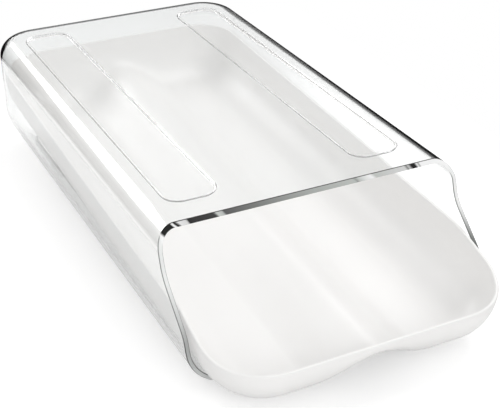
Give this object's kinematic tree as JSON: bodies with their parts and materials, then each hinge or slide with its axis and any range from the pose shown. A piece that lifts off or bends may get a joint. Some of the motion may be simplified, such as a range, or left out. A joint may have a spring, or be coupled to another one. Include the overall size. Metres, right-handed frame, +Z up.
{
  "type": "rolling egg dispenser",
  "caption": "Clear open-fronted refrigerator case with a white sliding tray whose side-by-side sloping lanes roll eggs forward into a rounded nose.",
  "frame": {"origin": "on the surface that the case stands on, under the middle of the whole object", "axes": "+Z up, +Y from the nose of the tray to the back of the case, +X to the right seen from the front"},
  "size_m": [0.162, 0.3449, 0.071],
  "materials": {
    "clear_plastic": "clear, polished moulding",
    "white_plastic": "opaque white, smooth satin gloss"
  },
  "bodies": {
    "case": {"case": "clear_plastic"},
    "tray": {"egg_tray": "white_plastic"}
  },
  "joints": [
    {"name": "tray_slide", "type": "slide", "parent": "case", "child": "tray", "axis": [0, -1, 0], "range_m": [0, 0.305]}
  ]
}
